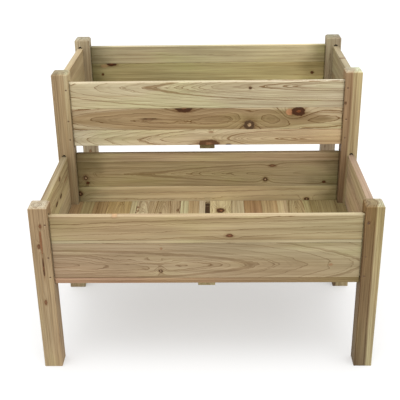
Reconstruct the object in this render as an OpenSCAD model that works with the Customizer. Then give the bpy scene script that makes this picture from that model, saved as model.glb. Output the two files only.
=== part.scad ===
// Two-tier raised planter on six square legs, sold flat and slotted together.
// Each tier is an open box of four walls, a two-panel floor, cleats and a centre beam.
// The lower box hangs between the front and middle legs, the upper one between the
// middle and rear legs. The wall ends are tongues that sit in stopped grooves in the legs.
// Millimetres, +Z up, front towards -Y, origin on the ground under the middle of the planter.

/* [Overall] */
// Width over the legs, left to right
width = 870; // [600:5:1200]
// Depth over the legs, front to back
depth = 870; // [600:5:1200]

/* [Legs] */
// Side of a square leg
leg_size = 47; // [44:1:60]
// Height of a leg above the top edge of its highest wall
leg_overrun = 30; // [20:1:60]
// Chamfer round the top end of a leg
leg_chamfer = 5; // [1:0.5:8]

/* [Boxes] */
// Height of the lower box's walls above the ground
lower_box_height = 252; // [100:1:400]
// How much higher the upper box sits than the lower one
tier_rise = 219; // [210:1:300]
// Height of a wall board
wall_height = 188; // [150:1:200]
// Thickness of a wall board
wall_thickness = 18; // [15:1:20]
// Distance from a leg's outer face to the wall's outer face
wall_setback = 8; // [6:1:10]

/* [Joints] */
// Width of the stopped groove in a leg, which is the thickness of the tongue
groove_width = 12; // [8:1:13]
// Depth of the groove in a leg
groove_depth = 16; // [10:1:16]
// Open gap between a wall's shoulder and the leg
shoulder_gap = 2.5; // [0.5:0.5:4]
// Play between a tongue and its groove, on each side
tongue_play = 0.2; // [0.1:0.05:0.5]

/* [Floor] */
// Height of the floor's underside above the bottom edge of the walls
floor_rise = 26; // [24:1:50]
// Thickness of a floor panel
floor_thickness = 10; // [8:1:14]
// Drainage gap between the two floor panels
floor_gap = 14; // [6:1:20]
// Gap between a floor panel and what is round it
floor_play = 1.5; // [0.5:0.5:4]

/* [Supports] */
// Side of a square cleat
cleat_size = 20; // [16:1:22]
// Side of the square centre beam
beam_size = 44; // [40:1:50]

/* [Fasteners] */
// Heights of the three nails at a wall's end, as parts of the wall's height
nail_spread = [0.112, 0.41, 0.899]; // [0.1:0.001:0.95]
// Diameter of a nail's shank
nail_diameter = 2.2; // [1.8:0.1:3]
// Diameter of a nail's head
nail_head = 4; // [3:0.5:5]
// Length of a nail
nail_length = 32; // [24:1:32]
// Diameter of a screw's shank
screw_diameter = 3.5; // [3:0.5:4]
// Diameter of a screw's countersunk head
screw_head = 7; // [6:0.5:8]
// Length of a cleat screw
cleat_screw_length = 32; // [26:1:34]
// Length of a beam screw
beam_screw_length = 38; // [30:1:40]

/* [Hidden] */
$fn = 32;
reach = 1;             // how far a cutting shape runs past the face that it opens
radial_play = 0.1;     // radius of a hole beyond its nail or screw
nail_head_thickness = 1.2;
nail_sink = 1;         // a nail's head lies this far below the surface
end_play = 0.5;        // gap at the bottom of a groove and at the ends of cleats and beams
screw_cone = 3;        // depth of a countersunk head
tier_pitch = (depth - leg_size) / 2;
short_leg = lower_box_height + wall_height + leg_overrun;
tall_leg = short_leg + tier_rise;
leg_inner_x = width / 2 - leg_size;
wall_inner = wall_setback + wall_thickness;
groove_seat = wall_setback + wall_thickness / 2;
tongue_thickness = groove_width - 2 * tongue_play;
tongue_length = shoulder_gap + groove_depth - end_play;
box_depth = tier_pitch + leg_size;
cleat_inner = wall_inner + cleat_size;
side_cleat_start = max(leg_size, cleat_inner) + end_play;
side_wall_length = tier_pitch - leg_size;
nail_rows = nail_spread * wall_height;
cross_screw_xs = [-0.85, -0.31, 0.31, 0.85] * leg_inner_x;
side_screw_ys = [leg_size + 50, box_depth / 2, tier_pitch - 50];
beam_screw_x = beam_size / 4;

sapwood = [0.80, 0.70, 0.50];
heartwood = [0.66, 0.50, 0.34];
legwood = [0.72, 0.58, 0.40];
steel = [0.60, 0.60, 0.58];

// ---- Places ----

// Tier 0 is the lower box and tier 1 the upper one. In a tier's own frame y is 0 at the
// outer face of its front legs and z is 0 at the bottom edge of its walls.
module tier(n) {
    translate([0, n * tier_pitch - depth / 2, lower_box_height + n * tier_rise]) children();
}

// Turns what is at the front or the left of a tier into its twin at the back or the right
module at_back() {
    translate([0, box_depth, 0]) mirror([0, 1, 0]) children();
}

module at_right() {
    mirror([1, 0, 0]) children();
}

// Both ends of the front wall: each child points along +Z into the leg's front face
module front_nail_places() {
    for (side = [-1, 1], row = nail_rows)
        translate([side * (leg_inner_x + groove_depth / 2), 0, row])
            rotate([-90, 0, 0]) children();
}

// Both ends of the left wall: each child points along +Z into the leg's outer side face
module left_nail_places() {
    for (end = [leg_size - groove_depth / 2, tier_pitch + groove_depth / 2], row = nail_rows)
        translate([-width / 2, end, row]) rotate([0, 90, 0]) children();
}

module front_screw_places() {
    for (x = cross_screw_xs)
        translate([x, cleat_inner, floor_rise - cleat_size / 2]) rotate([90, 0, 0]) children();
}

module left_screw_places() {
    for (y = side_screw_ys)
        translate([cleat_inner - width / 2, y, floor_rise - cleat_size / 2])
            rotate([0, -90, 0]) children();
}

module beam_screw_places() {
    front_y = wall_inner + cleat_size / 2;
    for (x = [-beam_screw_x, beam_screw_x], y = [front_y, box_depth - front_y])
        translate([x, y, floor_rise - beam_size]) children();
}

// ---- Fasteners and their holes, pointing along +Z from the surface ----

module nail() {
    translate([0, 0, nail_sink]) {
        cylinder(d = nail_head, h = nail_head_thickness);
        cylinder(d = nail_diameter, h = nail_length);
    }
}

module nail_hole() {
    translate([0, 0, -reach])
        cylinder(r = nail_head / 2 + radial_play, h = reach + nail_sink + nail_head_thickness);
    cylinder(r = nail_diameter / 2 + radial_play, h = nail_sink + nail_length + radial_play);
}

module screw(length) {
    cylinder(d1 = screw_head, d2 = screw_diameter, h = screw_cone);
    cylinder(d = screw_diameter, h = length);
}

module screw_hole(length) {
    translate([0, 0, -radial_play])
        cylinder(r1 = screw_head / 2 + 2 * radial_play, r2 = screw_diameter / 2 + radial_play,
                 h = screw_cone + 2 * radial_play);
    translate([0, 0, -reach])
        cylinder(r = screw_diameter / 2 + radial_play, h = reach + length + radial_play);
}

// ---- Legs ----

module post_outline(height) {
    polygon([
        [0, 0], [leg_size, 0], [leg_size, height - leg_chamfer],
        [leg_size - leg_chamfer, height], [leg_chamfer, height], [0, height - leg_chamfer]
    ]);
}

// A square post with all four top edges chamfered, at the left of the planter
module post(height, y) {
    translate([-width / 2, y - depth / 2, 0]) intersection() {
        translate([0, leg_size, 0]) rotate([90, 0, 0]) linear_extrude(leg_size) post_outline(height);
        rotate([90, 0, 90]) linear_extrude(leg_size) post_outline(height);
    }
}

// A groove with round ends that stands along +Z and is cut towards -Y from the origin's plane
module stopped_groove() {
    rotate([90, 0, 0]) linear_extrude(groove_depth) {
        translate([-groove_width / 2, 0]) square([groove_width, wall_height]);
        circle(d = groove_width);
        translate([0, wall_height]) circle(d = groove_width);
    }
    translate([-groove_width / 2, 0, 0]) cube([groove_width, reach, wall_height]);
}

// The grooves and nail holes of the leg at a box's front left corner
module corner_cuts() {
    translate([-leg_inner_x, groove_seat, 0]) rotate([0, 0, -90]) stopped_groove();
    translate([groove_seat - width / 2, leg_size, 0]) stopped_groove();
    front_nail_places() nail_hole();
    left_nail_places() nail_hole();
}

module front_left_leg() {
    color(legwood) difference() {
        post(short_leg, 0);
        tier(0) corner_cuts();
    }
}

module middle_left_leg() {
    color(legwood) difference() {
        post(tall_leg, tier_pitch);
        tier(0) at_back() corner_cuts();
        tier(1) corner_cuts();
    }
}

module rear_left_leg() {
    color(legwood) difference() {
        post(tall_leg, 2 * tier_pitch);
        tier(1) at_back() corner_cuts();
    }
}

module front_right_leg() {
    at_right() front_left_leg();
}

module middle_right_leg() {
    at_right() middle_left_leg();
}

module rear_right_leg() {
    at_right() rear_left_leg();
}

// ---- Walls ----

// A wall board lying along +X from 0 to length between two legs, with a tongue at each end
module wall_board(length) {
    translate([shoulder_gap, 0, 0]) cube([length - 2 * shoulder_gap, wall_thickness, wall_height]);
    translate([shoulder_gap - tongue_length, (wall_thickness - tongue_thickness) / 2, 0])
        cube([length + 2 * (tongue_length - shoulder_gap), tongue_thickness, wall_height]);
}

module cross_wall() {
    color(sapwood) difference() {
        translate([-leg_inner_x, wall_setback, 0]) wall_board(2 * leg_inner_x);
        front_nail_places() nail_hole();
        front_screw_places() screw_hole(cleat_screw_length);
    }
}

module side_wall() {
    color(sapwood) difference() {
        translate([wall_inner - width / 2, leg_size, 0]) rotate([0, 0, 90]) wall_board(side_wall_length);
        left_nail_places() nail_hole();
        left_screw_places() screw_hole(cleat_screw_length);
    }
}

// ---- Floor and its supports ----

// The left floor panel, with a notch round the leg at each outer corner
module floor_panel() {
    outer_x = width / 2 - wall_inner - floor_play;
    inner_y = wall_inner + floor_play;
    notch_x = leg_inner_x - floor_play;
    notch_y = leg_size + floor_play;
    color(heartwood) translate([0, 0, floor_rise]) linear_extrude(floor_thickness) polygon([
        [-floor_gap / 2, inner_y], [-notch_x, inner_y], [-notch_x, notch_y], [-outer_x, notch_y],
        [-outer_x, box_depth - notch_y], [-notch_x, box_depth - notch_y],
        [-notch_x, box_depth - inner_y], [-floor_gap / 2, box_depth - inner_y]
    ]);
}

// The beam under the gap between the floor panels. Its ends are notched to hook under the cleats.
module centre_beam() {
    beam_y = wall_inner + end_play;
    color(heartwood) difference() {
        translate([-beam_size / 2, beam_y, floor_rise - beam_size])
            cube([beam_size, box_depth - 2 * beam_y, beam_size]);
        for (y = [beam_y - reach, box_depth - cleat_inner - end_play])
            translate([-beam_size / 2 - reach, y, floor_rise - cleat_size])
                cube([beam_size + 2 * reach, cleat_size + reach + end_play, cleat_size + reach]);
        beam_screw_places() screw_hole(beam_screw_length);
    }
}

module front_cleat() {
    half = leg_inner_x - end_play;
    color(sapwood) difference() {
        translate([-half, wall_inner, floor_rise - cleat_size]) cube([2 * half, cleat_size, cleat_size]);
        front_screw_places() screw_hole(cleat_screw_length);
        beam_screw_places() screw_hole(beam_screw_length);
    }
}

module left_cleat() {
    color(sapwood) difference() {
        translate([wall_inner - width / 2, side_cleat_start, floor_rise - cleat_size])
            cube([cleat_size, box_depth - 2 * side_cleat_start, cleat_size]);
        left_screw_places() screw_hole(cleat_screw_length);
    }
}

// ---- One tier's fasteners ----

module wall_nails() {
    color(steel) {
        front_nail_places() nail();
        at_back() front_nail_places() nail();
        left_nail_places() nail();
        at_right() left_nail_places() nail();
    }
}

module cleat_screws() {
    color(steel) {
        front_screw_places() screw(cleat_screw_length);
        at_back() front_screw_places() screw(cleat_screw_length);
        left_screw_places() screw(cleat_screw_length);
        at_right() left_screw_places() screw(cleat_screw_length);
    }
}

module beam_screws() {
    color(steel) beam_screw_places() screw(beam_screw_length);
}

// ---- The planter ----

front_left_leg();
front_right_leg();
middle_left_leg();
middle_right_leg();
rear_left_leg();
rear_right_leg();
tier(0) cross_wall();  // lower_front_wall
tier(0) at_back() cross_wall();  // lower_back_wall
tier(0) side_wall();  // lower_left_wall
tier(0) at_right() side_wall();  // lower_right_wall
tier(1) cross_wall();  // upper_front_wall
tier(1) at_back() cross_wall();  // upper_back_wall
tier(1) side_wall();  // upper_left_wall
tier(1) at_right() side_wall();  // upper_right_wall
tier(0) floor_panel();  // lower_left_floor_panel
tier(0) at_right() floor_panel();  // lower_right_floor_panel
tier(1) floor_panel();  // upper_left_floor_panel
tier(1) at_right() floor_panel();  // upper_right_floor_panel
tier(0) centre_beam();  // lower_centre_beam
tier(1) centre_beam();  // upper_centre_beam
tier(0) front_cleat();  // lower_front_cleat
tier(0) at_back() front_cleat();  // lower_back_cleat
tier(0) left_cleat();  // lower_left_cleat
tier(0) at_right() left_cleat();  // lower_right_cleat
tier(1) front_cleat();  // upper_front_cleat
tier(1) at_back() front_cleat();  // upper_back_cleat
tier(1) left_cleat();  // upper_left_cleat
tier(1) at_right() left_cleat();  // upper_right_cleat
tier(0) wall_nails();  // lower_wall_nails
tier(1) wall_nails();  // upper_wall_nails
tier(0) cleat_screws();  // lower_cleat_screws
tier(1) cleat_screws();  // upper_cleat_screws
tier(0) beam_screws();  // lower_beam_screws
tier(1) beam_screws();  // upper_beam_screws
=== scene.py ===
import math
import random

import bmesh
import bpy
import numpy as np
from mathutils import Matrix, Vector


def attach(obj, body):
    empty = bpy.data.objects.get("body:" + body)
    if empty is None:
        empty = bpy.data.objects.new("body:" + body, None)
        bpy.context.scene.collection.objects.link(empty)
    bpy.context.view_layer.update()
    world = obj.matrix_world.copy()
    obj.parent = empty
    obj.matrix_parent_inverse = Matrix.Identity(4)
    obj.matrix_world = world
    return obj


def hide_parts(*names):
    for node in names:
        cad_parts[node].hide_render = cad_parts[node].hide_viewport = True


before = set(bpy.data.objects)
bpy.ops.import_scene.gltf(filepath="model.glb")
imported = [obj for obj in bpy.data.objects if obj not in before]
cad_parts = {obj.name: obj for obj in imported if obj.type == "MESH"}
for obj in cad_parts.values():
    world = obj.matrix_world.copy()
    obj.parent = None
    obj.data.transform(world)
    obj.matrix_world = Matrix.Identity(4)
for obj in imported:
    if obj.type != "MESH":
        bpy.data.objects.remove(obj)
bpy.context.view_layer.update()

# Two-tier raised planter of green-treated fir. Metres, in the CAD model's frame: +Z up, front at -Y,
# origin on the ground under the middle. Every board is built again from the staves that it is glued up
# from, each stave with its own colour, growth rings and knots, and replaces its CAD node.

# ---- Sizes, the same as the CAD model's ----
HALF = 0.435                        # half the width, and half the depth
LEG = 0.047                         # side of a leg
LEG_INNER = HALF - LEG              # |x| of the legs' inner faces
PITCH = 0.4115                      # from one pair of legs to the next
SHORT_LEG, TALL_LEG = 0.470, 0.689
CHAMFER = 0.005                     # round the tops of the legs
WALL_H, WALL_T = 0.188, 0.018
SETBACK = 0.008                     # of the walls' outer faces behind the legs'
WALL_IN = SETBACK + WALL_T          # the same of the walls' inner faces
SEAT = SETBACK + WALL_T / 2         # the same of the middles of the walls and of the legs' grooves
GROOVE_W, GROOVE_D = 0.012, 0.016
SHOULDER = 0.0025                   # gap between a wall's shoulders and the leg's face
TONGUE_T, TONGUE_L = 0.0116, 0.018
FLOOR_RISE = 0.026                  # underside of the floor above the walls' bottom edges
FLOOR_T, FLOOR_GAP = 0.010, 0.014
PLAY = 0.0015                       # of the floor panels between the walls and round the legs
CLEAT, BEAM = 0.020, 0.044          # sides of their square sections
SLIP = 0.0005                       # of the cleats and the beam at their ends
BOX_D = PITCH + LEG                 # depth of one box over its legs
NAIL_ROWS = [0.112 * WALL_H, 0.41 * WALL_H, 0.899 * WALL_H]
NAIL_HEAD, NAIL_SHANK = 0.0020, 0.0011          # radii
NAIL_DEPTH, NAIL_POCKET, NAIL_DENT = 0.033, 0.0022, 0.0011     # of its shank, its head and the dent round it
CROSS_SCREWS = [k * LEG_INNER for k in (-0.85, -0.31, 0.31, 0.85)]
SIDE_SCREWS = [LEG + 0.05, BOX_D / 2, PITCH - 0.05]
SCREW_HEAD, SCREW_SHANK = 0.0035, 0.00175       # radii
COUNTERSINK, CLEAT_SCREW, BEAM_SCREW = 0.0031, 0.032, 0.038     # depths of the cone and of the two shanks
TIERS = {"lower": (-HALF, 0.252), "upper": (-HALF + PITCH, 0.471)}   # y of its front legs, z of its walls

GLUE_LINE = 0.0001                  # half the gap left between two staves
SHARP = 0.6                         # angle in radians past which an arris is eased
KNOTS = 5                           # most knots that one stave can show

rng = random.Random(20)


# ---- Mesh helpers ----

def skin(bm, first, last):
    """Closes the bmesh between two rings of as many vertices, with a face over each."""
    bm.faces.new(first[::-1])
    bm.faces.new(last)
    for i in range(len(first)):
        j = (i + 1) % len(first)
        bm.faces.new((first[i], first[j], last[j], last[i]))
    bmesh.ops.recalc_face_normals(bm, faces=bm.faces)


def prism(outline, lo, hi, ease=0.0, chamfer=0.0):
    """A closed prism over a plan outline, with its top edges chamfered and then every arris eased."""
    bm = bmesh.new()
    base = [bm.verts.new((x, y, lo)) for x, y in outline]
    skin(bm, base, [bm.verts.new((x, y, hi)) for x, y in outline])
    if chamfer:
        rim = [e for e in bm.edges if all(v.co.z > hi - 1e-6 for v in e.verts)]
        bmesh.ops.bevel(bm, geom=rim, offset=chamfer, segments=1, affect="EDGES", profile=0.5)
    if ease:
        sharp = [e for e in bm.edges if len(e.link_faces) == 2 and e.is_convex and e.calc_face_angle(0) > SHARP]
        bmesh.ops.bevel(bm, geom=sharp, offset=ease, segments=2, affect="EDGES", profile=0.5,
                        clamp_overlap=True)
    return bm


def box_outline(x0, x1, y0, y1):
    return [(x0, y0), (x1, y0), (x1, y1), (x0, y1)]


def circle(bm, radius, at, axis, centre, sides):
    """Vertices round axis 0, 1 or 2 at a place along it, or a single one on the axis if the radius is 0.
    The centre gives the other two coordinates, in the order that follows the axis."""
    ring = []
    for i in range(sides if radius > 0 else 1):
        a = 2 * math.pi * i / sides
        p = [0.0, 0.0, 0.0]
        p[axis] = at
        p[(axis + 1) % 3] = centre[0] + radius * math.cos(a)
        p[(axis + 2) % 3] = centre[1] + radius * math.sin(a)
        ring.append(bm.verts.new(p))
    return ring


def rod(radius, start, end, axis, centre, radius_end=None, sides=20):
    """A cylinder or cone along an axis."""
    bm = bmesh.new()
    first = circle(bm, radius, start, axis, centre, sides)
    skin(bm, first, circle(bm, radius if radius_end is None else radius_end, end, axis, centre, sides))
    return bm


def temp_object(bm):
    """A throwaway object that holds a bmesh."""
    mesh = bpy.data.meshes.new("temp")
    bm.to_mesh(mesh)
    bm.free()
    obj = bpy.data.objects.new("temp", mesh)
    bpy.context.scene.collection.objects.link(obj)
    return obj


def cut(bm, cutters):
    """Takes the cutters out of a bmesh and returns the vertices and faces that are left."""
    body = temp_object(bm)
    tools = [temp_object(cutter) for cutter in cutters]
    for tool in tools:
        mod = body.modifiers.new("cut", "BOOLEAN")
        mod.operation, mod.solver, mod.object = "DIFFERENCE", "EXACT", tool
    result = body.evaluated_get(bpy.context.evaluated_depsgraph_get()).to_mesh()
    verts = np.array([v.co for v in result.vertices], float)
    faces = [tuple(p.vertices) for p in result.polygons]
    for obj in [body] + tools:
        mesh = obj.data
        bpy.data.objects.remove(obj)
        bpy.data.meshes.remove(mesh)
    return verts, faces


def uncut(bm):
    """The vertices and faces of a bmesh that needs no cutting."""
    bm.verts.index_update()
    verts = np.array([v.co[:] for v in bm.verts], float)
    faces = [tuple(v.index for v in f.verts) for f in bm.faces]
    bm.free()
    return verts, faces


# ---- Staves ----

def linear(rgb):
    """A colour given as 0 to 255 display values, as linear light."""
    return np.array([((c / 255 + 0.055) / 1.055) ** 2.4 for c in rgb])


def even(*rgb):
    """One tone from end to end."""
    return rgb, rgb


# Colours of the staves as 0 to 255 display values, one entry a stave: walls from the bottom up, floor panels
# from the middle outwards. A stave fades from its tone at the left, front or lower end to its tone at the other
# end. Two more tones are its heartwood's at the same two ends.
TONES = {
    "front_left_leg": [((165, 145, 115), (155, 130, 100))],
    "front_right_leg": [((175, 165, 130), (155, 135, 100), (115, 100, 75), (125, 100, 65))],
    "middle_left_leg": [((175, 160, 130), (175, 160, 130), (160, 140, 110), (160, 140, 110))],
    # Its second pair of tones colours a strip along its inner face, much darker at the lower end.
    "middle_right_leg": [((170, 155, 120), (170, 155, 120), (105, 85, 65), (150, 125, 95))],
    "rear_left_leg": [even(170, 155, 130)],
    "rear_right_leg": [even(150, 135, 115)],
    "lower_front_wall": [
        ((175, 145, 120), (120, 105, 70)),
        ((160, 140, 115), (160, 145, 115)),
        ((170, 155, 125), (170, 160, 130)),
        ((155, 135, 105), (170, 155, 120)),
    ],
    "upper_front_wall": [
        ((195, 185, 160), (205, 180, 145)),
        ((185, 170, 140), (180, 165, 135), (175, 155, 120), (140, 120, 90)),
        ((195, 180, 150), (185, 175, 150)),
    ],
    "lower_back_wall": [
        ((200, 185, 150), (190, 175, 140)),
        ((170, 150, 115), (160, 145, 115)),
        ((175, 155, 125), (185, 160, 130)),
    ],
    "upper_back_wall": [((150, 145, 110), (190, 175, 130)), ((155, 150, 125), (200, 185, 150))],
    "lower_left_wall": [even(185, 170, 140), even(185, 170, 135)],
    "lower_right_wall": [even(190, 170, 145), even(180, 160, 135)],
    "upper_left_wall": [even(165, 150, 120), even(170, 155, 125)],
    "upper_right_wall": [even(140, 125, 100), even(150, 140, 115)],
    "lower_left_floor_panel": [
        even(170, 155, 130), even(165, 145, 110), even(175, 170, 135), even(155, 140, 110),
        even(180, 165, 135), even(160, 150, 120), even(150, 130, 90), even(135, 115, 80),
        even(135, 120, 85), even(135, 110, 80),
    ],
    "lower_right_floor_panel": [
        even(175, 165, 130), even(160, 150, 120), even(135, 105, 75), even(150, 130, 95),
        even(160, 145, 115), even(155, 140, 105), even(140, 130, 95), even(130, 115, 80),
    ],
}


SLOTS = {"legs": "leg_wood", "walls": "wall_wood", "floors": "floor_wood", "supports": "support_wood",
         "nail_steel": "nail_steel", "screw_steel": "screw_steel"}


def place(mesh, name, material):
    """Puts a finished mesh in the scene as the piece that stands for the CAD node of that name."""
    mesh.materials.append(material)
    obj = bpy.data.objects.new(name + "_piece", mesh)
    bpy.context.scene.collection.objects.link(obj)
    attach(obj, "root")
    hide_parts(name)
    SLOTS[material.name.split(".")[0]]    # the frame has materials of the steels' names too


USUAL_MIDDLE = 0.6
NO_KNOT = (9, 9, 0.001, 0, 1, 0)    # far off every board


class Board:
    """One wooden piece: closed staves side by side, with the attributes that its wood material reads.

    axes: those along the grain, across the face and into the board. face: where the face is on the last.
    A stave's spec has these entries, of which only pith is always there:
      sap        its tones, where TONES has none for it
      pith       the middle of its growth rings, across the face and deep from it, where the grain's axis is 0
      lean, bow  how the pith moves across and deeper a metre of length, and deeper a metre squared
      ring       from one growth ring to the next
      lines      how dark the rings' lines are
      heart_r    radius of its heartwood
      soak  how much painted shade darkens its ends, for the shade in the corners where it meets the legs
      top        painted light and shade: a tint that makes its faces that look up lighter or darker
      knots      (along, across, radius, darkness, stretch along the grain, middle) of each knot, with a middle
                 of -1 for resin, 0 for pale and 1 for dark
      seed       its place in the noise patterns
    """

    def __init__(self, name, axes, face):
        self.name, self.axes, self.face = name, axes, face
        self.verts, self.faces, self.data, self.count = [], [], {}, 0
        self.tones = iter(TONES.get(name, ()))

    def add(self, verts, faces, spec):
        """Adds a stave. Its seed is drawn even if the spec has one, so that no spec changes another's."""
        along, across, deep = self.axes
        u, w, d = verts[:, along], verts[:, across], verts[:, deep] - self.face
        one = np.ones(len(verts))
        seed = spec.get("seed", rng.uniform(0, 9))
        pith_w, pith_d = spec["pith"]
        lean_w, lean_d = spec.get("lean", (0.0, 0.0))
        put = {
            "grain": [u + seed * 1.7, w + seed * 0.9, d + seed * 0.5],
            "ring": [w - pith_w - lean_w * u, d - pith_d - lean_d * u, one * spec.get("bow", 0.0)],
            "shape": [u, one / spec.get("ring", 0.005), one * spec.get("lines", 0.6)],
            "ends": [one * u.min(), one * u.max(), one * spec.get("soak", 0.0)],
            "top": [one * c for c in spec.get("top", (1, 1, 1))],
            "axis": [one * (axis == along) for axis in range(3)],
        }
        tones = next(self.tones, None) or spec["sap"]
        part = (u - u.min()) / max(u.max() - u.min(), 1e-6)
        for key, (low, high), alpha in (("sap", tones[:2], 1.0), ("heart", tones[-2:], spec.get("heart_r", -1.0))):
            put[key] = [a * (1 - part) + b * part for a, b in zip(linear(low), linear(high))] + [one * alpha]
        knots = [(tuple(knot) + (USUAL_MIDDLE,))[:6] for knot in spec.get("knots", ())] + [NO_KNOT] * KNOTS
        for k, (ku, kw, size, dark, stretch, middle) in enumerate(knots[:KNOTS]):
            put[f"knot{k}"] = [(u - ku) / (size * stretch), (w - kw) / size, one * size]
            put[f"look{k}"] = [one * dark, one * middle, one * 0]
        for key, columns in put.items():
            self.data.setdefault(key, []).append(np.stack(columns, 1))
        self.faces += [tuple(i + self.count for i in f) for f in faces]
        self.verts.append(verts)
        self.count += len(verts)

    def finish(self, material):
        mesh = bpy.data.meshes.new(self.name)
        mesh.from_pydata(np.concatenate(self.verts).tolist(), [], self.faces)
        for key, parts in self.data.items():
            values = np.concatenate(parts).astype(np.float32)
            kind, field = {3: ("FLOAT_VECTOR", "vector"), 4: ("FLOAT_COLOR", "color")}[values.shape[1]]
            mesh.attributes.new(key, kind, "POINT").data.foreach_set(field, values.ravel())
        place(mesh, self.name, material)


# ---- Materials ----

class Nodes:
    """Short names for building a material's node tree."""

    def __init__(self, mat):
        mat.use_nodes = True
        self.tree = mat.node_tree
        self.tree.nodes.clear()

    def new(self, kind, **settings):
        node = self.tree.nodes.new("ShaderNode" + kind)
        for key, value in settings.items():
            setattr(node, key, value)
        return node

    def plug(self, socket, value):
        if isinstance(value, bpy.types.NodeSocket):
            self.tree.links.new(value, socket)
        else:
            socket.default_value = value

    def math(self, op, *values, clamp=False):
        node = self.new("Math", operation=op, use_clamp=clamp)
        for i, value in enumerate(values):
            self.plug(node.inputs[i], value)
        return node.outputs[0]

    def vector(self, x, y, z=0.0):
        node = self.new("CombineXYZ")
        for i, value in enumerate((x, y, z)):
            self.plug(node.inputs[i], value)
        return node.outputs[0]

    def split(self, value):
        node = self.new("SeparateXYZ")
        self.plug(node.inputs[0], value)
        return node.outputs[0], node.outputs[1], node.outputs[2]

    def attribute(self, name, output="Vector"):
        return self.new("Attribute", attribute_name=name).outputs[output]

    def noise(self, vector, scale=1.0, detail=2.0, rough=0.5, colour=False):
        node = self.new("TexNoise")
        self.plug(node.inputs["Vector"], vector)
        node.inputs["Scale"].default_value = scale
        node.inputs["Detail"].default_value = detail
        node.inputs["Roughness"].default_value = rough
        return node.outputs["Color" if colour else "Fac"]

    def ramp(self, value, lo, hi, out_lo=0.0, out_hi=1.0):
        """A smooth step from lo to hi."""
        node = self.new("MapRange", interpolation_type="SMOOTHSTEP")
        for i, item in enumerate((value, lo, hi, out_lo, out_hi)):
            self.plug(node.inputs[i], item)
        return node.outputs[0]

    def mix(self, factor, a, b, blend="MIX"):
        node = self.new("Mix", data_type="RGBA", blend_type=blend)
        self.plug(node.inputs["Factor"], factor)
        self.plug(node.inputs["A"], a)
        self.plug(node.inputs["B"], b)
        return node.outputs["Result"]

    def tint(self, base, tint, factor=None):
        """The base multiplied by a tint, as far as the factor says."""
        tinted = self.mix(1.0, base, tint, "MULTIPLY")
        return tinted if factor is None else self.mix(factor, base, tinted)

    def surface(self, colour, rough, height, strength, distance):
        """The material's shader, with a bump."""
        bump = self.new("Bump")
        bump.inputs["Strength"].default_value = strength
        bump.inputs["Distance"].default_value = distance
        self.plug(bump.inputs["Height"], height)
        shader = self.new("BsdfPrincipled")
        self.plug(shader.inputs["Base Color"], colour)
        self.plug(shader.inputs["Roughness"], rough)
        self.plug(shader.inputs["Normal"], bump.outputs["Normal"])
        self.plug(self.new("OutputMaterial").inputs["Surface"], shader.outputs[0])
        return shader


class Grain(Nodes):
    """The same for a board, with the board's own coordinates from its attributes."""

    def __init__(self, mat):
        super().__init__(mat)
        self.u, self.w, self.d = self.split(self.attribute("grain"))
        self.length, self.per_ring, self.lines = self.split(self.attribute("shape"))

    def fibres(self, along, across, **settings):
        """Noise with so many waves a metre along the grain and across it."""
        waves = zip((self.u, self.w, self.d), (along, across, across))
        return self.noise(self.vector(*(self.math("MULTIPLY", at, rate) for at, rate in waves)), **settings)


def grey(value):
    return (value, value, value, 1.0)


# Rings squeezed a little towards the middle of their arches, which gives the arches pointed tips
POINTED = 0.78
FLAT = 0.020            # the distance from the pith at which the squeeze changes nothing

# Tints that multiply the wood's colour
WARM_BLUSH, COOL_BLUSH = (1.03, 0.99, 0.96, 1), (0.97, 1.005, 0.985, 1)
GREEN_SALT = (0.88, 0.98, 0.82, 1)
DARK_STREAK, PALE_STREAK = (0.80, 0.75, 0.68, 1), (1.10, 1.09, 1.07, 1)
VEIN = (0.70, 0.60, 0.48, 1)
LATE_WOOD = (0.44, 0.32, 0.22, 1)
# Painted shade: the tint that darkens boards towards their ends, for the shade in the corners where walls meet
# legs
END_SHADE_TINT = (0.46, 0.46, 0.38, 1)
END_PORES, END_RINGS, END_GREY = (0.54, 0.50, 0.42, 1), (0.50, 0.42, 0.34, 1), (1.0, 1.12, 1.25, 1)
KNOT_HALO = (0.54, 0.40, 0.27, 1)

# Colours in a knot
PALE_KNOT, RESIN_KNOT = (0.46, 0.31, 0.17, 1), (0.46, 0.235, 0.115, 1)
DARK_KNOT, KNOT_SPECK = (0.112, 0.026, 0.004, 1), (0.235, 0.068, 0.020, 1)
KNOT_BARK = (0.036, 0.014, 0.004, 1)


def pith_distance(n):
    """The distance from the pith, with rings that wander slowly along the board, and where it is heartwood."""
    m = n.math
    across, deep, bow = n.split(n.attribute("ring"))
    wander = n.new("SeparateColor")
    n.plug(wander.inputs[0], n.fibres(3.0, 9.0, detail=3.0, colour=True))
    drift = [m("SUBTRACT", wander.outputs[i], 0.5) for i in range(2)]
    across = m("ABSOLUTE", m("MULTIPLY_ADD", drift[0], 0.008, across))
    across = m("MULTIPLY", m("POWER", across, POINTED), FLAT ** (1.0 - POINTED))
    deep = m("SUBTRACT", deep, m("MULTIPLY", bow, m("MULTIPLY", n.length, n.length)))
    deep = m("MULTIPLY_ADD", drift[1], 0.007, deep)
    radius = m("SQRT", m("ADD", m("MULTIPLY", across, across), m("MULTIPLY", deep, deep)))
    is_heart = n.ramp(m("SUBTRACT", radius, n.attribute("heart", "Alpha")), -0.0010, 0.0014, 1.0, 0.0)
    ragged = m("SUBTRACT", n.fibres(38.0, 95.0), 0.5)
    return m("MULTIPLY_ADD", ragged, 0.0022, radius), is_heart


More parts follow.
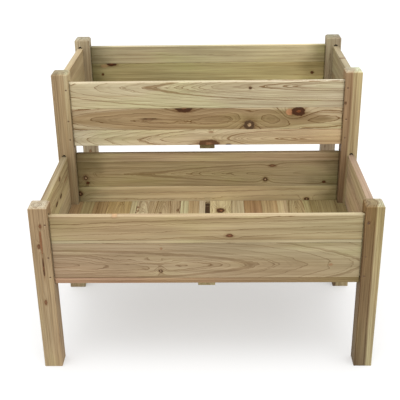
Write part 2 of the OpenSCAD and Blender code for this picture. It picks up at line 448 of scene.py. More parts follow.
def knot_masks(n, radius):
    """The radius once each knot, a branch through the board, has bent the rings round itself, and the
    masks of each knot: its kind of middle, its inside, its bark ring and its halo."""
    m = n.math
    torn = m("SUBTRACT", n.fibres(110.0, 170.0, detail=4.0, rough=0.65), 0.5)
    masks = []
    for k in range(KNOTS):
        x, y, size = n.split(n.attribute(f"knot{k}"))
        dark, middle, _ = n.split(n.attribute(f"look{k}"))
        square = m("ADD", m("MULTIPLY", x, x), m("MULTIPLY", y, y))
        push = m("MULTIPLY", m("EXPONENT", m("MULTIPLY", square, -0.16)), size)
        radius = m("MULTIPLY_ADD", push, 0.85, radius)
        edge = m("MULTIPLY_ADD", torn, 1.05, m("SQRT", square))
        inside = m("MULTIPLY", n.ramp(edge, 0.88, 1.10, 1.0, 0.0), n.ramp(dark, 0.2, 0.6))
        bark = m("MULTIPLY", m("MULTIPLY", n.ramp(edge, 0.20, 0.42), inside), n.ramp(middle, -0.2, 0.0))
        bark = m("MULTIPLY", bark, n.ramp(dark, 0.5, 1.0))
        halo = m("MULTIPLY", m("MULTIPLY", n.ramp(edge, 0.9, 1.9, 1.0, 0.0), dark), 0.62)
        masks.append((middle, inside, bark, halo))
    return radius, masks


def late_wood(n, radius):
    """A slow darkening through each year's wood, then a thin dark line where growth stopped."""
    m = n.math
    phase = m("MULTIPLY", radius, n.per_ring)
    uneven = n.new("TexNoise", noise_dimensions="1D")
    n.plug(uneven.inputs["W"], m("MULTIPLY", phase, 0.45))
    uneven.inputs["Detail"].default_value = 1.0
    phase = m("MULTIPLY_ADD", uneven.outputs["Fac"], 1.6, phase)
    turn = m("FRACT", phase)
    stop = n.ramp(turn, 0.95, 1.0, 1.0, 0.0)
    slow = m("MULTIPLY", n.ramp(turn, 0.30, 0.92), stop)
    thin = m("MULTIPLY", n.ramp(turn, 0.76, 0.92), stop)
    year = n.new("TexWhiteNoise", noise_dimensions="1D")
    n.plug(year.inputs["W"], m("FLOOR", phase))
    strength = m("MULTIPLY", m("MULTIPLY_ADD", year.outputs["Value"], 0.75, 0.30), n.lines)
    return m("MULTIPLY", m("MULTIPLY_ADD", thin, 0.95, m("MULTIPLY", slow, 0.38)), strength, clamp=True)


def painted_light_shade_and_end_grain(n, colour, late):
    """Painted shade towards the ends, for the shade in the corners where boards meet the legs; painted light and
    shade, a tint on the faces that look up; and end grain, which is darker and dotted with open pores."""
    m = n.math
    low, high, soak = n.split(n.attribute("ends"))
    from_end = m("MINIMUM", m("SUBTRACT", n.length, low), m("SUBTRACT", high, n.length))
    # Painted shade: each board darkens towards its ends with a ragged edge, for the shade in the corners where it
    # meets the legs
    ragged_shade_edge = n.fibres(9.0, 22.0, detail=3.0)
    painted_end_shade = m("MULTIPLY", n.ramp(m("MULTIPLY_ADD", ragged_shade_edge, -0.17, from_end), -0.075, 0.035, 1.0, 0.0), soak)
    colour = n.tint(colour, END_SHADE_TINT, painted_end_shade)
    normal = n.new("NewGeometry").outputs["Normal"]
    # Painted light and shade: the faces that look up are tinted lighter or darker, board by board, for the light
    # that falls on them
    colour = n.tint(colour, n.attribute("top", "Color"), n.ramp(n.split(normal)[2], 0.45, 0.80))
    facing = n.new("VectorMath", operation="DOT_PRODUCT")
    n.plug(facing.inputs[0], normal)
    n.plug(facing.inputs[1], n.attribute("axis"))
    end = n.ramp(m("ABSOLUTE", facing.outputs["Value"]), 0.5, 0.95)
    pores = n.ramp(n.fibres(200.0, 700.0), 0.42, 0.62)
    colour = n.tint(colour, END_PORES, m("MULTIPLY", end, m("MULTIPLY_ADD", pores, 0.22, 0.12)))
    colour = n.tint(colour, END_RINGS, m("MULTIPLY", end, m("MULTIPLY", late, 0.7)))
    return n.tint(colour, END_GREY, end)


def wood(name, rough, fuzz, green):
    """Fir with growth rings round an off-board pith, heartwood and sapwood, fibres, knots that push the
    rings aside, end grain and a patchy green treatment tint."""
    mat = bpy.data.materials.new(name)
    n = Grain(mat)
    m = n.math
    radius, is_heart = pith_distance(n)
    radius, knots = knot_masks(n, radius)
    late = late_wood(n, radius)

    fibre = n.fibres(9.0, 520.0)
    streak = n.fibres(2.6, 85.0, detail=3.0, rough=0.6)
    patch = n.fibres(4.0, 14.0)
    blush = n.ramp(n.fibres(1.7, 6.0, detail=1.0), 0.35, 0.65)
    vein = n.ramp(n.fibres(2.4, 190.0, detail=3.0), 0.54, 0.70)

    colour = n.mix(is_heart, n.attribute("sap", "Color"), n.attribute("heart", "Color"))
    colour = n.tint(colour, n.mix(n.ramp(patch, 0.25, 0.75), grey(0.88), grey(1.09)))
    colour = n.tint(colour, n.mix(blush, WARM_BLUSH, COOL_BLUSH))
    colour = n.tint(colour, GREEN_SALT, m("MULTIPLY", n.ramp(patch, 0.48, 0.72), green))
    colour = n.tint(colour, n.mix(n.ramp(streak, 0.30, 0.70), DARK_STREAK, PALE_STREAK))
    colour = n.tint(colour, VEIN, m("MULTIPLY", vein, 0.5))
    colour = n.tint(colour, LATE_WOOD, late)
    colour = n.tint(colour, n.mix(n.ramp(fibre, 0.30, 0.70), grey(1.0 - fuzz), grey(1.0 + fuzz * 0.6)))
    colour = painted_light_shade_and_end_grain(n, colour, late)

    # Knots over everything: a pale, dark or resin-orange middle, a ring of bark and a smoky halo
    height = m("MULTIPLY_ADD", late, 0.5, m("MULTIPLY", fibre, 0.6))
    speck = n.ramp(n.fibres(380.0, 420.0), 0.48, 0.62)
    dark_middle = n.mix(speck, DARK_KNOT, KNOT_SPECK)
    bark_cover = m("MULTIPLY_ADD", speck, 0.10, 0.86)
    for middle, inside, bark, halo in knots:
        fill = n.mix(n.ramp(middle, -0.6, -0.1), RESIN_KNOT, n.mix(middle, PALE_KNOT, dark_middle))
        colour = n.tint(colour, KNOT_HALO, halo)
        colour = n.mix(m("MULTIPLY", inside, 0.92), colour, fill)
        colour = n.mix(m("MULTIPLY", bark, bark_cover), colour, KNOT_BARK)
        height = m("MULTIPLY_ADD", bark, -0.8, height)
    height = m("MULTIPLY_ADD", streak, 0.5, height)

    worn = m("MULTIPLY_ADD", fibre, 0.16, m("MULTIPLY_ADD", late, -0.10, rough))
    shader = n.surface(colour, worn, height, strength=0.35, distance=0.0006)
    shader.inputs["Specular IOR Level"].default_value = 0.20
    return mat


RUST = (0.16, 0.075, 0.035, 1)


def steel(name, colour, rough, spots):
    """Dull plated steel with mottled zinc and rust freckles."""
    mat = bpy.data.materials.new(name)
    n = Nodes(mat)
    place_at = n.new("TexCoord").outputs["Object"]
    mottle = n.noise(place_at, scale=900.0, detail=3.0)
    rust = n.ramp(n.noise(place_at, scale=350.0, detail=4.0, rough=0.7), 0.62 - spots, 0.80 - spots)
    tone = n.mix(n.ramp(mottle, 0.35, 0.65), [c * 0.75 for c in colour] + [1], list(colour) + [1])
    worn = n.math("MULTIPLY_ADD", mottle, 0.25, rough)
    shader = n.surface(n.mix(rust, tone, RUST), worn, mottle, strength=0.3, distance=0.0002)
    n.plug(shader.inputs["Metallic"], n.math("SUBTRACT", 1.0, rust))
    return mat


LEGS = wood("legs", rough=0.62, fuzz=0.17, green=0.5)
WALLS = wood("walls", rough=0.60, fuzz=0.09, green=0.6)
FLOORS = wood("floors", rough=0.68, fuzz=0.12, green=0.5)
SUPPORTS = wood("supports", rough=0.72, fuzz=0.14, green=0.4)
# The nails' steel is dark brown: partly its own rusty colour, partly painted shade for the pits that the heads sit
# in.
NAIL_STEEL_AND_PIT_SHADE = steel("nail_steel", (0.16, 0.13, 0.10), rough=0.55, spots=0.26)
SCREW_STEEL = steel("screw_steel", (0.50, 0.47, 0.36), rough=0.30, spots=0.0)


def blank_stave(colour, centre, width):
    """An unremarkable stave: a colour near the given one and rings from a pith somewhere off the board."""
    warm, light = rng.uniform(-1, 1), rng.uniform(-1, 1)
    tone = [c * (1 + 0.08 * light + 0.028 * warm * s) for c, s in zip(colour, (1, 0, -1))]
    side = rng.choice((-1, 1))
    near = rng.random() < 0.5
    return {
        "sap": (tuple(tone), tuple(c * rng.uniform(0.96, 1.04) for c in tone)),
        "pith": (centre + side * (width * rng.uniform(0.1, 0.5) if near else rng.uniform(0.03, 0.09)),
                 rng.choice((-1, 1)) * rng.uniform(0.02, 0.05)),
        "lean": (rng.uniform(-0.03, 0.03), rng.uniform(-0.06, 0.06)),
        "ring": rng.uniform(0.0038, 0.0062),
        "lines": rng.uniform(0.35, 0.8),
    }


# ---- Holes, by tier ----

CLEAR = 0.0001          # how much wider and deeper a hole is than what goes in it
START = 0.001           # how far before the surface a hole's cutter starts


def shank_hole(axis, sign, surface, centre, depth, shank):
    return rod(shank + CLEAR, surface - sign * START, surface + sign * (depth + CLEAR), axis, centre, sides=16)


def nail_hole(axis, sign, surface, centre):
    """Cutters for one nail that goes in along an axis from a surface: its dent, its head and its shank."""
    dent = rod(2 * NAIL_HEAD, surface - sign * 3 * CLEAR, surface + sign * NAIL_DENT, axis, centre,
               NAIL_HEAD + CLEAR)
    head = rod(NAIL_HEAD + CLEAR, surface - sign * START, surface + sign * NAIL_POCKET, axis, centre)
    return [dent, head, shank_hole(axis, sign, surface, centre, NAIL_DEPTH, NAIL_SHANK)]


def screw_hole(axis, sign, surface, centre, length):
    """The same for a countersunk screw: its cone and its shank."""
    cone = rod(SCREW_HEAD + 2 * CLEAR, surface - sign * CLEAR, surface + sign * COUNTERSINK, axis, centre,
               SCREW_SHANK + CLEAR)
    return [cone, shank_hole(axis, sign, surface, centre, length, SCREW_SHANK)]


def nail_places(tier, which):
    """(axis, direction in, surface, centre) of the nails of the 'front', 'back', 'left' or 'right' wall, with
    the centre in rod()'s order."""
    y0, z0 = TIERS[tier]
    places = []
    for row in NAIL_ROWS:
        if which in ("front", "back"):
            surface, sign = (y0, 1) if which == "front" else (y0 + BOX_D, -1)
            for x in (-LEG_INNER - GROOVE_D / 2, LEG_INNER + GROOVE_D / 2):
                places.append((1, sign, surface, (z0 + row, x)))
        else:
            surface, sign = (-HALF, 1) if which == "left" else (HALF, -1)
            for y in (LEG - GROOVE_D / 2, PITCH + GROOVE_D / 2):
                places.append((0, sign, surface, (y0 + y, z0 + row)))
    return places


def screw_places(tier, which):
    """The same for the screws through a cleat into its wall, or up through the 'beam'."""
    y0, z0 = TIERS[tier]
    z = z0 + FLOOR_RISE - CLEAT / 2
    inner = WALL_IN + CLEAT
    if which == "front":
        return [(1, -1, y0 + inner, (z, x)) for x in CROSS_SCREWS]
    if which == "back":
        return [(1, 1, y0 + BOX_D - inner, (z, x)) for x in CROSS_SCREWS]
    if which == "left":
        return [(0, -1, -HALF + inner, (y0 + y, z)) for y in SIDE_SCREWS]
    if which == "right":
        return [(0, 1, HALF - inner, (y0 + y, z)) for y in SIDE_SCREWS]
    at = WALL_IN + CLEAT / 2
    return [(2, 1, z0 + FLOOR_RISE - BEAM, (x, y0 + y)) for x in (-BEAM / 4, BEAM / 4) for y in (at, BOX_D - at)]


def nail_holes(tier, which):
    return [cutter for spot in nail_places(tier, which) for cutter in nail_hole(*spot)]


def screw_holes(tier, which):
    length = BEAM_SCREW if which == "beam" else CLEAT_SCREW
    return [cutter for spot in screw_places(tier, which) for cutter in screw_hole(*spot, length)]


# ---- Legs ----

def groove(axis, sign, face, seat, z0):
    """A stopped groove cut in along x (axis 0) or y (axis 1) from a leg's face, with round ends."""
    steps = 10
    outline = []
    for start, z in ((0, z0 + WALL_H), (math.pi, z0)):
        for i in range(steps + 1):
            a = start + math.pi * i / steps
            outline.append((seat + GROOVE_W / 2 * math.cos(a), z + GROOVE_W / 2 * math.sin(a)))
    bm = bmesh.new()
    first, last = ([bm.verts.new((at, s, z) if axis == 0 else (s, at, z)) for s, z in outline]
                   for at in (face - sign * START, face + sign * GROOVE_D))
    skin(bm, first, last)
    return bm


def leg(name, side, y, height, corners, spec):
    """side is -1 for left and 1 for right. corners: (tier, 'front' or 'back') of each box that it holds."""
    x0, x1 = sorted((side * HALF, side * LEG_INNER))
    cutters = []
    for tier, end in corners:
        y0, z0 = TIERS[tier]
        seat_y = y0 + (SEAT if end == "front" else BOX_D - SEAT)
        cutters.append(groove(0, side, side * LEG_INNER, seat_y, z0))
        inner_y = y + LEG if end == "front" else y
        cutters.append(groove(1, -1 if end == "front" else 1, inner_y, side * (HALF - SEAT), z0))
        for which in (end, "left" if side < 0 else "right"):
            for axis, sign, surface, centre in nail_places(tier, which):
                here_x = centre[1] if axis == 1 else surface
                here_y = centre[0] if axis == 0 else surface
                if here_x * side > 0 and y - START < here_y < y + LEG + START:
                    cutters += nail_hole(axis, sign, surface, centre)
    board = Board(name, (2, 0, 1), y)
    body = prism(box_outline(x0, x1, y, y + LEG), 0.0, height, ease=0.0012, chamfer=CHAMFER)
    board.add(*cut(body, cutters), spec)
    board.finish(LEGS)


MID, REAR = PITCH - HALF, 2 * PITCH - HALF      # y of the fronts of the middle and rear legs

# Each leg's top tint is painted light and shade on its faces that look up: lighter on the front legs and the
# middle right leg, darker on the middle left and rear legs.
leg("front_left_leg", -1, -HALF, SHORT_LEG, [("lower", "front")], {
    "top": (1.37, 1.58, 1.93),
    "pith": (-0.404, 0.016), "lean": (-0.022, 0.0), "ring": 0.0046, "lines": 0.8, "seed": 1.0,
    "knots": [(0.418, -0.408, 0.0034, 0.72, 1.7, 0.8), (0.362, -0.4165, 0.0036, 0.78, 1.7, 0.8),
              (0.200, -0.414, 0.0036, 0.74, 2.2, 0.8), (0.300, -0.410, 0.0020, 0.9, 14, 0.9),
              (0.376, -0.410, 0.0030, 0.5, 11, 0.9)]})
leg("front_right_leg", 1, -HALF, SHORT_LEG, [("lower", "front")], {
    "top": (1.15, 1.28, 1.66),
    "heart_r": 0.0402, "pith": (0.376, 0.018), "lean": (-0.008, 0.0), "ring": 0.0034, "lines": 1.2, "seed": 2.0,
    "knots": [(0.424, 0.398, 0.0028, 0.9, 1.3)]})
leg("middle_left_leg", -1, MID, TALL_LEG, [("lower", "back"), ("upper", "front")], {
    "top": (0.73, 0.76, 0.74),
    "heart_r": 0.0295, "pith": (-0.431, 0.010), "ring": 0.0050, "lines": 0.45, "seed": 3.0})
leg("middle_right_leg", 1, MID, TALL_LEG, [("lower", "back"), ("upper", "front")], {
    "top": (1.18, 1.43, 1.74),
    "heart_r": 0.0293, "pith": (0.372, 0.018), "lean": (0.02, 0.0), "ring": 0.0048, "lines": 0.5, "seed": 4.0,
    "knots": [(0.597, 0.392, 0.003, 0.9, 1.3)]})
leg("rear_left_leg", -1, REAR, TALL_LEG, [("upper", "back")], {
    "top": (0.86, 0.84, 0.83),
    "pith": (-0.46, 0.02), "lean": (0.01, 0.0), "ring": 0.0048, "lines": 0.6, "seed": 5.0,
    "knots": [(0.30, -0.41, 0.004, 0.7, 1.5)]})
leg("rear_right_leg", 1, REAR, TALL_LEG, [("upper", "back")], {
    "top": (0.84, 0.83, 0.80),
    "pith": (0.40, 0.03), "lean": (0.0, 0.01), "ring": 0.0045, "lines": 0.6, "seed": 6.0,
    "knots": [(0.45, 0.415, 0.004, 0.6, 1.5)]})


# ---- Walls ----

def wall_outline(a0, a1, face, inward, crosswise):
    """The plan of a wall board between leg faces at a0 and a1, with a tongue at each end."""
    s0, s1 = a0 + SHOULDER, a1 - SHOULDER
    t0, t1 = s0 - TONGUE_L, s1 + TONGUE_L
    b0, b1 = face, face + inward * WALL_T
    g0 = face + inward * (WALL_T - TONGUE_T) / 2
    g1 = g0 + inward * TONGUE_T
    pts = [(s0, b0), (s1, b0), (s1, g0), (t1, g0), (t1, g1), (s1, g1), (s1, b1), (s0, b1), (s0, g1), (t0, g1),
           (t0, g0), (s0, g0)]
    return pts if crosswise else [(y, x) for x, y in pts]


def wall(tier, which, staves, seen):
    """staves: (top above the wall's bottom edge, spec) from the bottom up. seen: 'outer' or 'inner' face,
    the one that the growth rings are laid out on."""
    y0, z0 = TIERS[tier]
    if which in ("front", "back"):
        face, inward = (y0 + SETBACK, 1) if which == "front" else (y0 + BOX_D - SETBACK, -1)
        outline, axes = wall_outline(-LEG_INNER, LEG_INNER, face, inward, True), (0, 2, 1)
    else:
        face, inward = (-HALF + SETBACK, 1) if which == "left" else (HALF - SETBACK, -1)
        outline, axes = wall_outline(y0 + LEG, y0 + PITCH, face, inward, False), (1, 2, 0)
    board = Board(f"{tier}_{which}_wall", axes, face if seen == "outer" else face + inward * WALL_T)
    bottom = z0
    for top, spec in staves:
        z_lo = bottom + (GLUE_LINE if bottom > z0 else 0)
        z_hi = z0 + top - (GLUE_LINE if top < WALL_H else 0)
        cutters = nail_holes(tier, which) + screw_holes(tier, which)
        body = prism(outline, z_lo, z_hi, ease=0.0009)
        board.add(*cut(body, [c for c in cutters if in_reach(c, z_lo, z_hi)]), spec)
        bottom = z0 + top
    board.finish(WALLS)


def in_reach(cutter, lo, hi):
    """Whether a cutter meets the heights between lo and hi; one that doesn't is thrown away."""
    zs = [v.co.z for v in cutter.verts]
    meets = max(zs) > lo and min(zs) < hi
    if not meets:
        cutter.free()
    return meets


# The walls' top tints are painted light and shade on their upper edges: lighter and paler on the front walls,
# darker on the side walls.
wall("lower", "front", [
    (0.015, {"pith": (0.10, 0.03), "ring": 0.005, "lines": 0.8, "seed": 1.1}),
    (0.114, {"pith": (0.305, 0.0385), "lean": (0.0, 0.05), "bow": 0.07, "ring": 0.0062, "lines": 0.68, "seed": 1.3,
             "knots": [(-0.115, 0.287, 0.0048, 0.98, 1.1, 0.2), (-0.235, 0.315, 0.0070, 0.18, 4.5),
                       (-0.125, 0.313, 0.0060, 0.20, 3.6), (-0.112, 0.351, 0.0028, 0.6, 1.0),
                       (0.312, 0.304, 0.0032, 0.5, 1.5)]}),
    (0.122, {"pith": (0.39, 0.06), "ring": 0.005, "lines": 0.5, "seed": 1.6}),
    (0.188, {"top": (1.03, 1.08, 1.24),
             "pith": (0.335, 0.075), "lean": (0.034, 0.0), "ring": 0.0060, "lines": 0.85, "seed": 1.9,
             "knots": [(0.058, 0.3865, 0.0046, 0.80, 2.2, 0.9), (-0.225, 0.4410, 0.0050, 0.60, 1.2, 0.2)]}),
], "outer")

wall("upper", "front", [
    (0.0475, {"pith": (0.489, 0.026), "lean": (0.0, -0.075), "ring": 0.0036, "lines": 1.1, "seed": 2.2,
              "knots": [(0.005, 0.4755, 0.0125, 0.80, 2.4, 0.75), (0.012, 0.511, 0.0035, 0.45, 2.0),
                        (0.062, 0.471, 0.0040, 1.0, 2.0, 1)]}),
    (0.112, {"heart_r": 0.0457, "pith": (0.5485, 0.0339), "lean": (0.0, 0.0035), "bow": 0.082, "ring": 0.0046,
             "lines": 1.7, "seed": 2.5,
             "knots": [(-0.065, 0.5835, 0.0130, 0.92, 1.80, 0.95), (0.122, 0.5305, 0.0150, 1.0, 1.08, 0.0),
                       (0.236, 0.5695, 0.0095, 0.62, 1.1, -1), (0.261, 0.5705, 0.0135, 0.90, 1.45, 1.0),
                       (-0.165, 0.552, 0.0020, 0.9, 12)]}),
    (0.188, {"top": (1.0, 1.05, 1.16),
             "pith": (0.645, 0.0253), "lean": (0.0, -0.0625), "ring": 0.0050, "lines": 1.0, "seed": 2.8,
             "knots": [(0.123, 0.641, 0.0034, 0.95, 1.4)]}),
], "outer")

# The back walls' staves darken towards their ends with painted shade, for the shade in the corners where they meet
# the legs.
wall("lower", "back", [
    (0.083, {"soak": 0.9, "pith": (0.29, 0.05), "lean": (0.01, 0.0), "ring": 0.0050, "lines": 0.6, "seed": 3.1,
             "knots": [(0.297, 0.291, 0.0060, 1.0, 1.3), (-0.384, 0.312, 0.0080, 0.95, 1.0)]}),
    (0.163, {"soak": 0.9, "pith": (0.376, 0.030), "lean": (0.0, -0.034), "ring": 0.0050, "lines": 0.7, "seed": 3.4,
             "knots": [(0.172, 0.356, 0.0068, 1.0, 1.1, 0.0), (0.192, 0.400, 0.0042, 0.78, 2.6, 0.7),
                       (-0.363, 0.364, 0.0078, 0.95, 1.0, 0.0), (0.346, 0.347, 0.0038, 1.0, 1.3, 1),
                       (-0.358, 0.348, 0.0038, 1.0, 1.3, 1)]}),
    (0.188, {"soak": 0.9, "pith": (0.36, 0.05), "ring": 0.0055, "lines": 0.6, "seed": 3.6}),
], "inner")

wall("upper", "back", [
    (0.132, {"soak": 0.9, "pith": (0.50, 0.06), "lean": (-0.01, 0.0), "ring": 0.0055, "lines": 0.5, "seed": 4.1,
             "knots": [(-0.352, 0.566, 0.0036, 1.0, 1.1, 1), (0.347, 0.566, 0.0045, 1.0, 1.2, 1),
                       (-0.320, 0.603, 0.0085, 1.0, 2.0, 1), (-0.345, 0.595, 0.0060, 0.34, 1.8, -1)]}),
    (0.188, {"soak": 0.9, "pith": (0.60, 0.08), "ring": 0.0060, "lines": 0.5, "seed": 4.4}),
], "inner")

wall("lower", "left", [
    (0.093, {"pith": (0.30, 0.04), "ring": 0.0050, "lines": 0.6, "seed": 5.1}),
    (0.188, {"top": (0.54, 0.53, 0.55),
             "pith": (0.40, 0.035), "lean": (0.02, 0.03), "ring": 0.0050, "lines": 0.7, "seed": 5.4,
             "knots": [(-0.154, 0.425, 0.0055, 0.8, 2.0), (-0.158, 0.375, 0.0050, 1.0, 2.6, 1),
                       (-0.218, 0.378, 0.0050, 1.0, 2.8, 1), (-0.070, 0.390, 0.0032, 0.6, 9.0)]}),
], "inner")

wall("lower", "right", [
    (0.120, {"pith": (0.33, 0.05), "ring": 0.0055, "lines": 0.5, "seed": 6.1}),
    (0.188, {"top": (0.64, 0.60, 0.65),
             "pith": (0.38, 0.05), "lean": (0.02, 0.0), "ring": 0.0050, "lines": 0.6, "seed": 6.4}),
], "inner")

wall("upper", "left", [
    (0.090, {"pith": (0.52, 0.05), "ring": 0.0055, "lines": 0.5, "seed": 7.1}),
    (0.188, {"top": (0.88, 0.88, 0.90),
             "pith": (0.60, 0.05), "ring": 0.0060, "lines": 0.5, "seed": 7.4}),
], "inner")

wall("upper", "right", [
    (0.105, {"pith": (0.54, 0.05), "ring": 0.0050, "lines": 0.6, "seed": 8.1}),
    (0.188, {"top": (0.88, 0.88, 0.90),
             "pith": (0.62, 0.05), "ring": 0.0055, "lines": 0.5, "seed": 8.4,
             "knots": [(0.235, 0.659, 0.0028, 1.0, 1.5, 0.9)]}),
], "inner")


# ---- Floors ----

# Colours of the staves that no tone is given for
FLOOR_TONES = [(165, 150, 120), (150, 125, 90), (135, 115, 85), (170, 160, 125), (160, 140, 105), (160, 145, 115)]


def floor_panel(tier, side, cuts, specs):
    """side is -1 or 1. cuts: |x| of the joints between staves, from the middle outwards. specs: the staves'
    in the same order, or None for blank ones."""
    y0, z0 = TIERS[tier]
    in_y0, in_y1 = y0 + WALL_IN + PLAY, y0 + BOX_D - WALL_IN - PLAY
    notch_x, notch_y = LEG_INNER - PLAY, LEG + PLAY
    outer = HALF - WALL_IN - PLAY
    edges = [FLOOR_GAP / 2] + list(cuts) + [outer]
    lo, hi = z0 + FLOOR_RISE, z0 + FLOOR_RISE + FLOOR_T
    board = Board(f"{tier}_{'left' if side < 0 else 'right'}_floor_panel", (1, 0, 2), hi)
    for i, (a, b) in enumerate(zip(edges, edges[1:])):
        a += GLUE_LINE if i else 0
        b -= GLUE_LINE if b < outer else 0
        if b > notch_x:
            outline = [(a, in_y0), (notch_x, in_y0), (notch_x, y0 + notch_y), (b, y0 + notch_y),
                       (b, y0 + BOX_D - notch_y), (notch_x, y0 + BOX_D - notch_y), (notch_x, in_y1), (a, in_y1)]
        else:
            outline = box_outline(a, b, in_y0, in_y1)
        outline = [(side * x, y) for x, y in outline]
        spec = specs[i] if specs else blank_stave(rng.choice(FLOOR_TONES), side * (a + b) / 2, b - a)
        board.add(*uncut(prism(outline, lo, hi, ease=0.0005)), spec)
    board.finish(FLOORS)


def stave(pith, lines=0.6, ring=0.0045, lean=(0.0, 0.0), knots=()):
    return {"pith": pith, "lines": lines, "ring": ring, "lean": lean, "knots": list(knots)}


# The panels left and right of the gap
floor_panel("lower", -1, [0.025, 0.057, 0.080, 0.175, 0.211, 0.228, 0.298, 0.339, 0.374], [
    stave((-0.016, 0.03), 0.45),
    stave((-0.10, 0.02), 0.9),
    stave((-0.12, 0.03), 1),
    stave((-0.130, 0.022), 1.4, 0.0040, (0.01, 0.06),
          [(-0.090, -0.137, 0.003, 0.9, 1.6), (-0.070, -0.088, 0.003, 0.9, 2.5)]),
    stave((-0.192, 0.035), 0.75, 0.0050, (0.0, 0.05),
          [(-0.048, -0.206, 0.0035, 0.8, 1.3), (-0.073, -0.205, 0.0030, 0.8, 1.3),
           (-0.065, -0.2105, 0.0016, 1.0, 16)]),
    stave((-0.26, 0.02), 0.6),
    stave((-0.255, 0.035), 1, 0.0044, (0.02, 0.04)),
    stave((-0.40, 0.02), 1.4, 0.0052),
    stave((-0.30, 0.03), 0.75),
    stave((-0.36, 0.03), 1),
])
floor_panel("lower", 1, [0.070, 0.108, 0.160, 0.207, 0.236, 0.285, 0.302], [
    stave((0.038, 0.025), 0.83, 0.0060, (0.0, 0.03), [(-0.074, 0.0385, 0.0120, 0.95, 1.35, 0.9)]),
    stave((0.15, 0.03), 0.75, 0.0058),
    stave((0.05, 0.03), 0.75, 0.0050),
    stave((0.12, 0.03), 0.6, 0.0048),
    stave((0.27, 0.03), 0.75, 0.0052),
    stave((0.262, 0.028), 1, 0.0046, (0.0, 0.05)),
    stave((0.34, 0.03), 0.75),
    stave((0.44, 0.03), 1.2, 0.0050),
])
for side in (-1, 1):
    floor_panel("upper", side, [0.042, 0.108, 0.150, 0.212, 0.249, 0.300, 0.352], None)


# ---- Beams and cleats ----

# From a profile over (y, z), with x as its height, to (x, y, z)
ON_ITS_SIDE = Matrix(((0, 0, 1, 0), (1, 0, 0, 0), (0, 1, 0, 0), (0, 0, 0, 1)))


def support_stave(across, deep, heart=0.010):
    """A rough-sawn support cut beside the pith, with dark heartwood tones on the face against the floor as painted
    shade, for the shade down the gap between the floor panels.
    """
    light = rng.uniform(-8, 8)
    sap = tuple(c + light for c in (172, 153, 116))
    return {"sap": (sap, sap, (78, 57, 38), (72, 54, 36)), "pith": (across, deep), "heart_r": heart,
            "ring": rng.uniform(0.0036, 0.0046), "lines": 0.7, "seed": rng.uniform(0, 9)}


def beam(tier, y0, top):
    """The beam, which hooks under the front and back cleats."""
    b0, b1 = y0 + WALL_IN + SLIP, y0 + BOX_D - WALL_IN - SLIP
    n0, n1 = b0 + CLEAT, b1 - CLEAT
    profile = [(b0, top - BEAM), (b1, top - BEAM), (b1, top - CLEAT), (n1, top - CLEAT), (n1, top), (n0, top),
               (n0, top - CLEAT), (b0, top - CLEAT)]
    bm = prism(profile, -BEAM / 2, BEAM / 2, ease=0.001)
    bmesh.ops.transform(bm, matrix=ON_ITS_SIDE, verts=bm.verts)
    board = Board(f"{tier}_centre_beam", (1, 0, 2), top - BEAM)
    board.add(*cut(bm, screw_holes(tier, "beam")), support_stave(0.0, BEAM, 0.022))
    board.finish(SUPPORTS)


def cleat(tier, which, x0, x1, y0, y1, top, more_holes=()):
    """A cleat in plan from x0 to x1 and y0 to y1."""
    axes, face = ((0, 2, 1), y0) if which in ("front", "back") else ((1, 2, 0), x0)
    board = Board(f"{tier}_{which}_cleat", axes, face)
    body = prism(box_outline(x0, x1, y0, y1), top - CLEAT, top, ease=0.0008)
    board.add(*cut(body, screw_holes(tier, which) + list(more_holes)), support_stave(top, CLEAT / 2))
    board.finish(SUPPORTS)


def beam_holes_at(tier, which):
    """The beam's screw holes that go on into the front or back cleat."""
    middle = TIERS[tier][0] + PITCH / 2
    return [c for c in screw_holes(tier, "beam") if (min(v.co.y for v in c.verts) < middle) == (which == "front")]


for tier, (y0, z0) in TIERS.items():
    top = z0 + FLOOR_RISE
    beam(tier, y0, top)
    half = LEG_INNER - SLIP
    for which, y in (("front", y0 + WALL_IN), ("back", y0 + BOX_D - WALL_IN - CLEAT)):
        cleat(tier, which, -half, half, y, y + CLEAT, top, beam_holes_at(tier, which))
    for side, which in ((-1, "left"), (1, "right")):
        x0, x1 = sorted((side * (HALF - WALL_IN), side * (HALF - WALL_IN - CLEAT)))
        cleat(tier, which, x0, x1, y0 + LEG + SLIP, y0 + PITCH - SLIP, top)


# ---- Nails and screws ----

def lathe(bm, profile, axis, sign, surface, centre, sides=20):
    """Turns (radius, depth) pairs round a fastener's axis, closing on the axis at both ends."""
    rings = [circle(bm, r, surface + sign * depth, axis, centre, sides) for r, depth in profile]
    for a, b in zip(rings, rings[1:]):
        for i in range(sides):
            j = (i + 1) % sides
            quad = [a[i % len(a)], a[j % len(a)], b[j % len(b)], b[i % len(b)]]
            bm.faces.new(list(dict.fromkeys(quad)))


# (radius, depth) from the head's middle to the tip
NAIL = [(0, 0.00085), (0.0012, 0.0009), (0.0018, 0.00105), (0.0020, 0.0013), (0.0019, 0.0019), (0.0013, 0.0021),
        (0.0011, 0.0024), (0.0011, 0.0300), (0.0009, 0.0312), (0, 0.0328)]


def screw_profile(length):
    """A countersunk head with a drive recess over a plain upper shank and ringed threads."""
    root, crest, thread = 0.00130, 0.00172, 0.0016
    at = 0.008
    pts = [(0, 0.0014), (0.0008, 0.0013), (0.0011, 0.0001), (0.0032, 0.0001), (0.0034, 0.0004),
           (0.0018, 0.0028), (root, 0.0034), (root, at)]
    while at < length - 0.005:
        pts += [(crest, at + 0.0007), (root, at + 0.0014)]
        at += thread
    return pts + [(0.0011, length - 0.003), (0, length - 0.0003)]


WALLS_ROUND = ("front", "back", "left", "right")

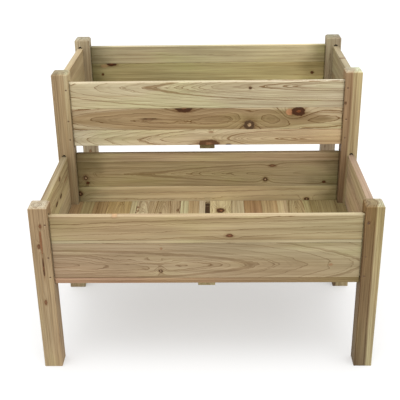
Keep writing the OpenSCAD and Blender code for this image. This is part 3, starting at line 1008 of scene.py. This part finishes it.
for tier in TIERS:
    for name, material, profile, places in (
        ("wall_nails", NAIL_STEEL_AND_PIT_SHADE, NAIL, [p for which in WALLS_ROUND for p in nail_places(tier, which)]),
        ("cleat_screws", SCREW_STEEL, screw_profile(CLEAT_SCREW),
         [p for which in WALLS_ROUND for p in screw_places(tier, which)]),
        ("beam_screws", SCREW_STEEL, screw_profile(BEAM_SCREW), screw_places(tier, "beam")),
    ):
        bm = bmesh.new()
        for at in places:
            lathe(bm, profile, *at)
        bmesh.ops.recalc_face_normals(bm, faces=bm.faces)
        mesh = bpy.data.meshes.new(f"{tier}_{name}")
        bm.to_mesh(mesh)
        bm.free()
        place(mesh, f"{tier}_{name}", material)


# ---- Stage, light and camera ----

def backlit_white(name, albedo, glow):
    """A matt white sheet lit a little from below, so that the shadow on it stays pale."""
    mat = bpy.data.materials.new(name)
    mat.use_nodes = True
    shader = mat.node_tree.nodes["Principled BSDF"]
    shader.inputs["Base Color"].default_value = grey(albedo)
    shader.inputs["Roughness"].default_value = 1.0
    shader.inputs["Specular IOR Level"].default_value = 0.0
    shader.inputs["Emission Color"].default_value = grey(1.0)
    shader.inputs["Emission Strength"].default_value = glow
    return mat


REACH = 14.0
floor_mesh = bpy.data.meshes.new("stage_floor")
floor_mesh.from_pydata([(x, y, 0) for x, y in box_outline(-REACH, REACH, -REACH, REACH)], [], [(0, 1, 2, 3)])
floor_mesh.materials.append(backlit_white("stage_floor", albedo=0.45, glow=0.435))
floor_obj = bpy.data.objects.new("stage_floor", floor_mesh)
bpy.context.scene.collection.objects.link(floor_obj)


def lamp(kind, name, energy, at, towards, **settings):
    light = bpy.data.lights.new(name, kind)
    light.energy = energy
    for key, value in settings.items():
        setattr(light, key, value)
    obj = bpy.data.objects.new(name, light)
    obj.location = at
    obj.rotation_euler = (Vector(towards) - Vector(at)).to_track_quat("-Z", "Y").to_euler()
    obj.visible_camera = False
    bpy.context.scene.collection.objects.link(obj)


lamp("SUN", "overhead_light", 0.50 * math.pi, (0, -0.5, 3), (0, -0.1, 0), angle=math.radians(90))
lamp("AREA", "top_softbox", 22, (0, -0.35, 2.0), (0, -0.05, 0.4), shape="RECTANGLE", size=2.0, size_y=1.8)

world = bpy.data.worlds.new("studio")
bpy.context.scene.world = world
world.use_nodes = True
world.node_tree.nodes["Background"].inputs["Color"].default_value = grey(1.0)
world.node_tree.nodes["Background"].inputs["Strength"].default_value = 1.0
bpy.context.scene.view_settings.view_transform = "Standard"
bpy.context.scene.view_settings.look = "None"

# A camera a little above the planter and in front of it, turned down and very slightly aside and over (radians)
CAMERA_AT = (0.02785, -1.73368 - HALF, 1.28124)
DOWN, ASIDE, OVER = 0.4292, 0.02361, -0.01562
cam_data = bpy.data.cameras.new("camera")
cam_data.sensor_width = 36.0
cam_data.lens = 71.13
cam = bpy.data.objects.new("camera", cam_data)
bpy.context.scene.collection.objects.link(cam)
cam.matrix_world = (Matrix.Translation(CAMERA_AT) @ Matrix.Rotation(ASIDE, 4, "Z")
                    @ Matrix.Rotation(math.pi / 2 - DOWN, 4, "X") @ Matrix.Rotation(OVER, 4, "Z"))
bpy.context.scene.camera = cam
